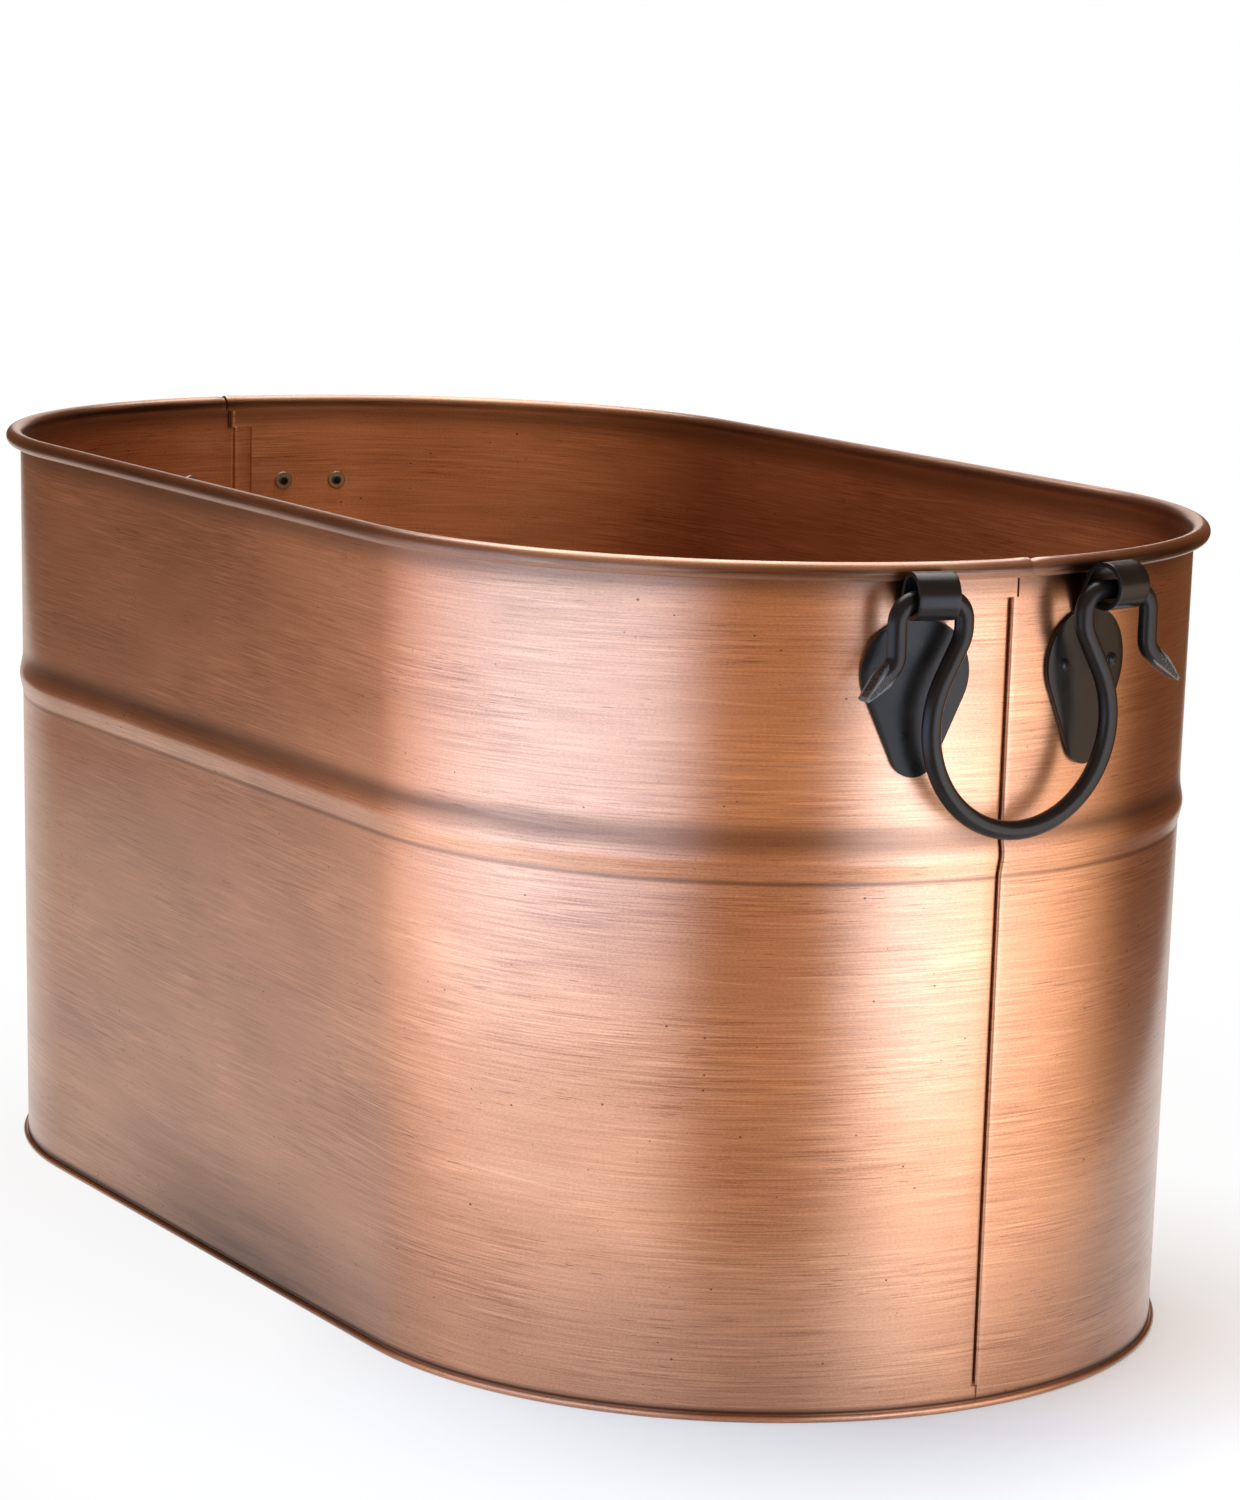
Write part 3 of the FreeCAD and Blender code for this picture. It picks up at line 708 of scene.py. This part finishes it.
def copper():
    """Copper sheet, brushed along its length, darkened with patina and painted shade, rubbed back by hand and
    lacquered.

    The strokes spread a reflection up and down but hardly sideways, so soft boxes show as upright bands.
    The clear lacquer lays a pale gleam over the warm metal, most where the eye meets it at a low angle.
    Patina with painted shade lies over and under the rim and by the ridge; painted shade lies at the ridge's
    foot, in the seams and over the hem, a painted dark reflection at the long sides' foot, and a painted
    highlight beside the fold.
    """
    material, tree = new_material("copper_brushed_antiqued_lacquered")
    layout = node(tree, "UVMap", uv_map="brush")["UV"]
    wander = node(tree, "TexNoise", {"Vector": layout, "Scale": 1 / WANDER_LENGTH, "Detail": 0.0})["Color"]
    lies = {
        "straight": layout,
        "wandering": node(tree, "VectorMath", {0: wander, 1: (0, WANDER_HEIGHT, 0), 2: layout},
                          operation="MULTIPLY_ADD")[0],
        "slanting": node(tree, "Mapping", {"Vector": layout, "Rotation": (0, 0, SCRATCH_SLANT)})[0],
    }
    layers = {}
    for layer, (length, spacing, detail, lie) in BRUSHWORK.items():
        scale = (1 / (length * MM), 1 / (spacing * MM), 1)
        spread = node(tree, "VectorMath", {0: lies[lie], 1: scale}, operation="MULTIPLY")[0]
        layers[layer] = node(tree, "TexNoise", {"Vector": spread, "Scale": 1.0, "Detail": detail})["Fac"]

    # The pad bit in some places and slid in others, so the strokes are deeper or fainter about their mean
    bite = node(tree, "MapRange", {0: layers["bite"], 1: 0.35, 2: 0.65, 3: 0.35, 4: 1.2})[0]
    mean = sum(STROKE_DEPTHS.values()) / 2
    brushed = -mean
    for layer, depth in STROKE_DEPTHS.items():
        brushed = node(tree, "Math", {0: layers[layer], 1: depth, 2: brushed}, operation="MULTIPLY_ADD")[0]
    brushed = node(tree, "Math", {0: brushed, 1: bite, 2: mean}, operation="MULTIPLY_ADD")[0]
    for layer, depth in EVEN_DEPTHS.items():
        brushed = node(tree, "Math", {0: layers[layer], 1: depth, 2: brushed}, operation="MULTIPLY_ADD")[0]
    tone = node(tree, "MapRange", {0: brushed, 1: DARKEST, 2: PALEST})[0]

    # Scuffs are short dark dashes in loose groups, and a few pale scratches cross the strokes
    dashes = node(tree, "MapRange", {0: layers["dashes"], 1: 0.64, 2: 0.72, 3: 0.0, 4: 0.5})[0]
    groups = node(tree, "MapRange", {0: layers["groups"], 1: 0.45, 2: 0.6})[0]
    scuffs = node(tree, "Math", {0: dashes, 1: groups}, operation="MULTIPLY")[0]
    scratches = node(tree, "MapRange", {0: layers["scratches"], 1: 0.73, 2: 0.8, 3: 0.0, 4: 0.25})[0]

    # Patina and painted shade by height on the wall, and a painted dark reflection at the long sides' foot,
    # with ragged edges
    place = node(tree, "SeparateXYZ", {0: layout})
    along, height = place["X"], place["Y"]
    # Painted dark reflection at the foot of the long sides
    foot = band(tree, height, *DARK_REFLECTION_BY_HEIGHT)
    side = band(tree, along, *DARK_REFLECTION_BY_LENGTH)
    patina_and_painted_shade = node(tree, "Math", {0: foot, 1: side}, operation="MULTIPLY")[0]
    for middle, reach, share in PATINA_AND_PAINTED_SHADE:
        added = band(tree, height, middle * MM, reach * MM, share)
        patina_and_painted_shade = node(tree, "Math", {0: patina_and_painted_shade, 1: added}, operation="MAXIMUM")[0]
    ragged = node(tree, "Math", {0: layers["hairs"], 1: 0.6}, operation="MULTIPLY")[0]
    ragged = node(tree, "Math", {0: layers["streaks"], 1: 0.9, 2: ragged}, operation="MULTIPLY_ADD")[0]
    patina_and_painted_shade = node(tree, "Math", {0: patina_and_painted_shade, 1: ragged}, operation="MULTIPLY")[0]

    # Painted shade in the seams and just over the hem, with clean edges
    lines = [band(tree, height, *HEM_SHADE_LINE)]
    for middle, reach, share, low, high in SEAM_SHADE_LINES:
        half = (high - low) / 2
        within = node(tree, "Math", {0: height, 1: low + half, 2: half}, operation="COMPARE")[0]
        line = band(tree, along, middle, reach * MM, share)
        lines.append(node(tree, "Math", {0: line, 1: within}, operation="MULTIPLY")[0])
    for line in lines:
        patina_and_painted_shade = node(tree, "Math", {0: patina_and_painted_shade, 1: line}, operation="MAXIMUM")[0]

    # A painted highlight along the seam, on the ledge of the sheet that the fold laps over
    above = node(tree, "Math", {0: height, 1: LOCK_LOW}, operation="GREATER_THAN")[0]
    bright = band(tree, along, *SEAM_HIGHLIGHT_LINE)
    for share in (layers["strokes"], above):
        bright = node(tree, "Math", {0: bright, 1: share}, operation="MULTIPLY")[0]

    # Specks under half a millimetre, in clusters, where the patina stayed in pits
    scale = (1 / SPECK_SPACING[0], 1 / SPECK_SPACING[1], 1)
    spread = node(tree, "VectorMath", {0: layout, 1: scale}, operation="MULTIPLY")[0]
    pits = node(tree, "TexVoronoi", {"Vector": spread, "Scale": 1.0})
    chance = node(tree, "SeparateXYZ", {0: pits["Color"]})["X"]
    chance = node(tree, "Math", {0: chance, 1: 0.5}, operation="SUBTRACT")[0]
    largest = node(tree, "Math", {0: groups, 1: 0.16, 2: 0.16}, operation="MULTIPLY_ADD")[0]
    size = node(tree, "Math", {0: chance, 1: largest}, operation="MULTIPLY")[0]
    size = node(tree, "Math", {0: size, 1: 0.0001}, operation="MAXIMUM")[0]
    core = node(tree, "Math", {0: size, 1: 0.6}, operation="MULTIPLY")[0]
    specks = node(tree, "MapRange", {0: pits["Distance"], 1: size, 2: core, 3: 0.0, 4: 0.8})[0]

    # Colour, from the bare metal to what lies last on it
    colour = linear("#885338")
    # The #40261A layer is patina and painted shade, the #F2C4A4 layer a painted highlight
    for share, code in ((tone, "#EEBB97"), (scuffs, "#4E2A1A"), (scratches, "#F2CBAE"), (patina_and_painted_shade, "#40261A"),
                        (bright, "#F2C4A4"), (specks, "#3A2014")):
        colour = node(tree, "Mix", {0: share, 6: colour, 7: linear(code)}, data_type="RGBA")[2]

    # Lacquer ran off the patina and lies thin there, and is made thin under the painted shade too
    coat = node(tree, "Math", {0: patina_and_painted_shade, 1: -0.65, 2: 1.0}, operation="MULTIPLY_ADD")[0]
    rough = node(tree, "MapRange", {0: layers["streaks"], 1: 0.3, 2: 0.7, 3: 0.38, 4: 0.46})[0]
    tooth = node(tree, "Math", {0: layers["hairs"], 1: 0.2, 2: layers["ripples"]},
                 operation="MULTIPLY_ADD")[0]
    relief = node(tree, "Bump", {"Height": tooth, "Strength": 1.0, "Distance": 0.035 * MM})[0]
    tangent = node(tree, "Tangent", direction_type="UV_MAP", uv_map="brush")[0]
    shader = node(tree, "BsdfPrincipled", {
        "Base Color": colour, "Metallic": 1.0, "Roughness": rough, "Normal": relief, "Tangent": tangent,
        "Anisotropic": 0.9, "Anisotropic Rotation": 0.25,
        "Coat Weight": coat, "Coat Roughness": 0.22, "Coat IOR": 1.55})[0]
    node(tree, "OutputMaterial", {"Surface": shader})
    return material


def black_iron():
    """Forged iron with a thin satin black paint.

    The rod has narrow grey gleams, the paint a fine tooth, and grey metal shows at rubbed edges.
    """
    material, tree = new_material("iron_forged_satin_black_paint")
    place = node(tree, "TexCoord")["Object"]
    grain = node(tree, "TexNoise", {"Vector": place, "Scale": 1 / (0.7 * MM), "Detail": 3.0})["Fac"]
    patches = node(tree, "TexNoise", {"Vector": place, "Scale": 1 / (8 * MM), "Detail": 3.0})["Fac"]
    rubbed = node(tree, "Attribute", attribute_name="rubbed")["Fac"]
    chipped = node(tree, "Math", {0: grain, 1: 0.7, 2: rubbed}, operation="MULTIPLY_ADD")[0]
    bare = node(tree, "MapRange", {0: chipped, 1: 0.8, 2: 1.0, 3: 0.0, 4: 0.7})[0]
    colour = linear("#0E0E0E")
    for share, code in ((patches, "#1A1A1A"), (bare, "#73706E")):
        colour = node(tree, "Mix", {0: share, 6: colour, 7: linear(code)}, data_type="RGBA")[2]
    rough = node(tree, "MapRange", {0: patches, 1: 0.3, 2: 0.7, 3: 0.26, 4: 0.36})[0]
    relief = node(tree, "Bump", {"Height": grain, "Strength": 0.2, "Distance": 0.1 * MM})[0]
    shader = node(tree, "BsdfPrincipled", {
        "Base Color": colour, "Roughness": rough, "Normal": relief,
        "Specular IOR Level": 0.25, "Specular Tint": linear("#F6F4F4")})[0]
    node(tree, "OutputMaterial", {"Surface": shader})
    return material


def plain_steel():
    """Bright drawn steel: cold grey, with a faint grain from the die."""
    material, tree = new_material("steel_drawn_bright")
    place = node(tree, "TexCoord")["Object"]
    grain = node(tree, "TexNoise", {"Vector": place, "Scale": 1 / (0.8 * MM), "Detail": 2.0})["Fac"]
    colour = node(tree, "Mix", {0: grain, 6: linear("#8C8983"), 7: linear("#C2BFB8")}, data_type="RGBA")[2]
    rough = node(tree, "MapRange", {0: grain, 3: 0.28, 4: 0.45})[0]
    shader = node(tree, "BsdfPrincipled", {"Base Color": colour, "Metallic": 1.0, "Roughness": rough})[0]
    node(tree, "OutputMaterial", {"Surface": shader})
    return material


# Putting the bucket together

def fit(piece, cad_node, body, material):
    """Gives a piece its finish and its body, and hides the CAD node that it stands for."""
    piece.data.materials.clear()
    piece.data.materials.append(material)
    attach(piece, body)
    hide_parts(cad_node)


COPPER = copper()
IRON = black_iron()
STEEL = plain_steel()

front = copper_sheet("copper_sheet_front")
back = twin(front, "copper_sheet_back", 180)
fit(front, "wall_front", "bucket", COPPER)
fit(back, "wall_back", "bucket", COPPER)
fit(copper_floor("copper_floor"), "bottom_pan", "bucket", COPPER)

pattern_bracket = iron_bracket("iron_bracket")
pattern_rivet = iron_rivet("iron_rivet")
pattern_washer = steel_washer("steel_washer")
fasteners = ((pattern_rivet, "rivet", IRON, "iron"), (pattern_washer, "washer", STEEL, "steel"))
spread = math.degrees(RIVET_SPREAD / wall_radius(PLATE_Z))
for side, right, left in ((-1, "right_front", "left_back"), (1, "right_back", "left_front")):
    bracket = twin(pattern_bracket, "iron_bracket_" + right, side * BRACKET_ANGLE)
    bracket.data.transform(Matrix.Translation(RIGHT_AXIS))
    fit(bracket, "bracket_" + right, "bucket", IRON)
    fit(twin(bracket, "iron_bracket_" + left, 180), "bracket_" + left, "bucket", IRON)
    for number, hand in ((1, -1), (2, 1)):
        for pattern, kind, finish, slot in fasteners:
            right_end = "_" + right + "_" + str(number)
            left_end = "_" + left + "_" + str(number)
            piece = set_on_wall(pattern, pattern.name + right_end, side * BRACKET_ANGLE + hand * spread)
            fit(piece, kind + right_end, "bucket", finish)
            fit(twin(piece, pattern.name + left_end, 180), kind + left_end, "bucket", finish)
for pattern in (pattern_bracket, pattern_rivet, pattern_washer):
    bpy.data.objects.remove(pattern)

right_bail = iron_bail("iron_bail_right")
fit(twin(right_bail, "iron_bail_left", 180), "bail_left", "handle_left", IRON)
fit(right_bail, "bail_right", "handle_right", IRON)

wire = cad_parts["rim_wire"]
wire.data.materials.clear()
wire.data.materials.append(STEEL)


# Camera at the photograph's angle

CAMERA_PLACE = Vector((1.5725, -0.9200, 0.5006))
CAMERA_AZIMUTH = math.radians(58.95)
CAMERA_ELEVATION = math.radians(9.67)
CAMERA_ROLL = math.radians(1.39)
SENSOR_HEIGHT = 36.0
LENS = 109.95

camera_data = bpy.data.cameras.new("camera")
camera_data.sensor_fit = "VERTICAL"
camera_data.sensor_height = SENSOR_HEIGHT
camera_data.lens = LENS
camera = bpy.data.objects.new("camera", camera_data)
bpy.context.scene.collection.objects.link(camera)
toward = Matrix.Rotation(CAMERA_AZIMUTH, 4, "Z") @ Matrix.Rotation(math.pi / 2 - CAMERA_ELEVATION, 4, "X")
camera.matrix_world = Matrix.Translation(CAMERA_PLACE) @ toward @ Matrix.Rotation(CAMERA_ROLL, 4, "Z")
bpy.context.scene.camera = camera


# Studio: a white paper sweep, two low soft boxes, one overhead and a warm room; sizes in metres

SHADOW_MIDDLE = (0.24, 0.05, 0)         # the bucket's shadow is kept most round this spot of the paper
SHADOW_NEAR, SHADOW_FAR = 0.1, 0.27     # it fades between these distances from there
WHITE_NEAR, WHITE_FAR = 0.34, 0.58      # and the last of it between these, from the middle of the bucket
WARM_LEAST, WARM_MOST = 0.1, -0.8       # how warm the paper is in the metal grows between these places in X
SWEEP_FRONT = -0.45             # edges of the paper before the bucket, seen along the view
SWEEP_LEFT, SWEEP_RIGHT = -0.9, 0.45
SWEEP_DEPTH = 4.4
SWEEP_SPREAD = 1.5              # how many times as wide the far edge is, about SPREAD_MIDDLE
SPREAD_MIDDLE = -0.5
CURVE_STEPS = 8                 # the paper curves up in these steps
CURVE_STEP = 0.16
SWEEP_RISE = 2.5


def paper():
    """Matt white paper that keeps the bucket's shadow.

    Further off it is plain white to the lens. In the metal it is a little warm, more so to the left.
    """
    material, tree = new_material("paper_white_matt")
    light = node(tree, "LightPath")
    glossy = light["Is Glossy Ray"]
    seen = light["Is Camera Ray"]
    for ray in (glossy, light["Is Transmission Ray"]):
        seen = node(tree, "Math", {0: seen, 1: ray}, operation="MAXIMUM")[0]
    place = node(tree, "TexCoord")["Object"]
    from_shadow = node(tree, "VectorMath", {0: place, 1: SHADOW_MIDDLE}, operation="DISTANCE")["Value"]
    from_bucket = node(tree, "VectorMath", {0: place}, operation="LENGTH")["Value"]
    near = node(tree, "MapRange", {0: from_shadow, 1: SHADOW_NEAR, 2: SHADOW_FAR, 3: 0.1, 4: 0.85})[0]
    far = node(tree, "MapRange", {0: from_bucket, 1: WHITE_NEAR, 2: WHITE_FAR, 3: 0.0, 4: 0.15})[0]
    share = node(tree, "Math", {0: near, 1: far}, operation="ADD")[0]
    share = node(tree, "Math", {0: seen, 1: share}, operation="MULTIPLY")[0]
    side = node(tree, "SeparateXYZ", {0: place})["X"]
    warm = node(tree, "MapRange", {0: side, 1: WARM_LEAST, 2: WARM_MOST, 3: 0.4, 4: 0.85})[0]
    warm = node(tree, "Math", {0: warm, 1: glossy}, operation="MULTIPLY")[0]
    glow = node(tree, "Mix", {0: warm, 6: linear("#FFFFFF"), 7: linear("#F2DCCD")}, data_type="RGBA")[2]
    matt = node(tree, "BsdfDiffuse", {"Color": linear("#E0E2E2")})[0]
    white = node(tree, "Emission", {"Color": glow, "Strength": 1.0})[0]
    node(tree, "OutputMaterial", {"Surface": node(tree, "MixShader", {0: share, 1: matt, 2: white})[0]})
    return material


def paper_sweep():
    """Paper from just before the bucket back to a far wall, and up it."""
    turn = Matrix.Rotation(CAMERA_AZIMUTH, 3, "Z")
    piece = draw("paper_sweep", [turn @ Vector((edge, SWEEP_FRONT, 0)) for edge in (SWEEP_LEFT, SWEEP_RIGHT)])
    push(turn @ Vector((0, SWEEP_DEPTH, 0)))
    bpy.ops.transform.resize(value=(SWEEP_SPREAD, SWEEP_SPREAD, 1),
                             center_override=turn @ Vector((SPREAD_MIDDLE, SWEEP_FRONT + SWEEP_DEPTH, 0)))
    for step in range(CURVE_STEPS):
        angle = math.radians(90 * (step + 0.5) / CURVE_STEPS)
        push(turn @ Vector((0, CURVE_STEP * math.cos(angle), CURVE_STEP * math.sin(angle))))
    push(turn @ Vector((0, 0, SWEEP_RISE)))
    close_up()
    smooth(piece, 60)
    piece.data.materials.append(paper())


def panel(name, place, facing, size, radiance, tints=("#FFFFFF", "#FFFFFF"), fades=(0.01, 0.01, 0.01),
          warmth=(0.01, 0.01)):
    """A lit panel of a width and height at a place, turned to a direction.

    It dims to its left, right and foot over the shares in fades. Its light goes from the second tint to the
    first over the shares in warmth, from its left and its right, and as it dims to the foot.
    """
    lamp = bpy.data.lights.new(name, "AREA")
    lamp.shape = "RECTANGLE"
    lamp.size, lamp.size_y = size
    lamp.energy = radiance * math.pi * size[0] * size[1]
    lamp.use_nodes = True
    tree = lamp.node_tree
    tree.nodes.clear()
    spot = node(tree, "SeparateXYZ", {0: node(tree, "NewGeometry")["Parametric"]})
    across, up = spot["X"], spot["Y"]
    foot = node(tree, "MapRange", {0: up, 1: 0.0, 2: fades[2]}, interpolation_type="SMOOTHSTEP")[0]
    shares = []
    for left, right in (fades[:2], warmth):
        share = foot
        for start, end in ((0.0, left), (1.0, 1.0 - right)):
            ramp = node(tree, "MapRange", {0: across, 1: start, 2: end}, interpolation_type="SMOOTHSTEP")[0]
            share = node(tree, "Math", {0: share, 1: ramp}, operation="MULTIPLY")[0]
        shares.append(share)
    strength, cool = shares
    middle, edge = tints
    tint = node(tree, "Mix", {0: cool, 6: linear(edge), 7: linear(middle)}, data_type="RGBA")[2]
    node(tree, "OutputLight", {0: node(tree, "Emission", {"Color": tint, "Strength": strength})[0]})
    holder = bpy.data.objects.new(name, lamp)
    bpy.context.scene.collection.objects.link(holder)
    turn = (-Vector(facing)).to_track_quat("Z", "Y").to_matrix().to_4x4()
    holder.matrix_world = Matrix.Translation(place) @ turn
    holder.visible_camera = False


def upright_panel(name, beside, azimuth, distance, size, **light):
    """A panel that stands on the floor off a spot of the wall, where 0 degrees is +X and -90 is the front."""
    turn = math.radians(azimuth)
    outward = Vector((math.cos(turn), math.sin(turn), 0))
    place = Vector(beside) + outward * distance + Vector((0, 0, size[1] / 2))
    panel(name, place, -outward, size, **light)


def warm_room():
    """Room round the studio: warm brown in the metal, paler on the camera's side, and grey to the paper."""
    world = bpy.data.worlds.new("warm_room")
    world.use_nodes = True
    tree = world.node_tree
    tree.nodes.clear()
    way = node(tree, "TexCoord")["Generated"]
    to_camera = Vector((math.sin(CAMERA_AZIMUTH), -math.cos(CAMERA_AZIMUTH), 0))
    side = node(tree, "VectorMath", {0: way, 1: to_camera}, operation="DOT_PRODUCT")["Value"]
    share = node(tree, "MapRange", {0: side, 1: -0.8, 2: 1.0}, interpolation_type="SMOOTHSTEP")[0]
    light = node(tree, "LightPath")
    colour = linear("#7A4E32")
    for cover, code in ((share, "#E2B283"), (light["Is Diffuse Ray"], "#8A8A8A"),
                        (light["Is Camera Ray"], "#FFFFFF")):
        colour = node(tree, "Mix", {0: cover, 6: colour, 7: linear(code)}, data_type="RGBA")[2]
    node(tree, "OutputWorld", {"Surface": node(tree, "Background", {"Color": colour, "Strength": 1.0})[0]})
    bpy.context.scene.world = world


paper_sweep()
upright_panel("soft_box_left", beside=(0.13, -0.09, 0), azimuth=-90, distance=0.26, size=(0.92, 0.3),
              radiance=3.5, tints=("#AED5FF", "#FFC08A"), fades=(0.62, 0.25, 0.48), warmth=(0.62, 0.03))
upright_panel("soft_box_right", beside=(0.313, -0.02, 0), azimuth=34, distance=0.22, size=(0.72, 0.3),
              radiance=5.5, tints=("#CCE4FF", "#FFD49C"), fades=(0.41, 0.78, 0.26), warmth=(0.05, 0.8))
panel("soft_box_top", place=(-0.7, 0.35, 2.0), facing=(0.3, -0.15, -1), size=(1.9, 1.9), radiance=4.6)
warm_room()
bpy.context.scene.view_settings.view_transform = "Standard"
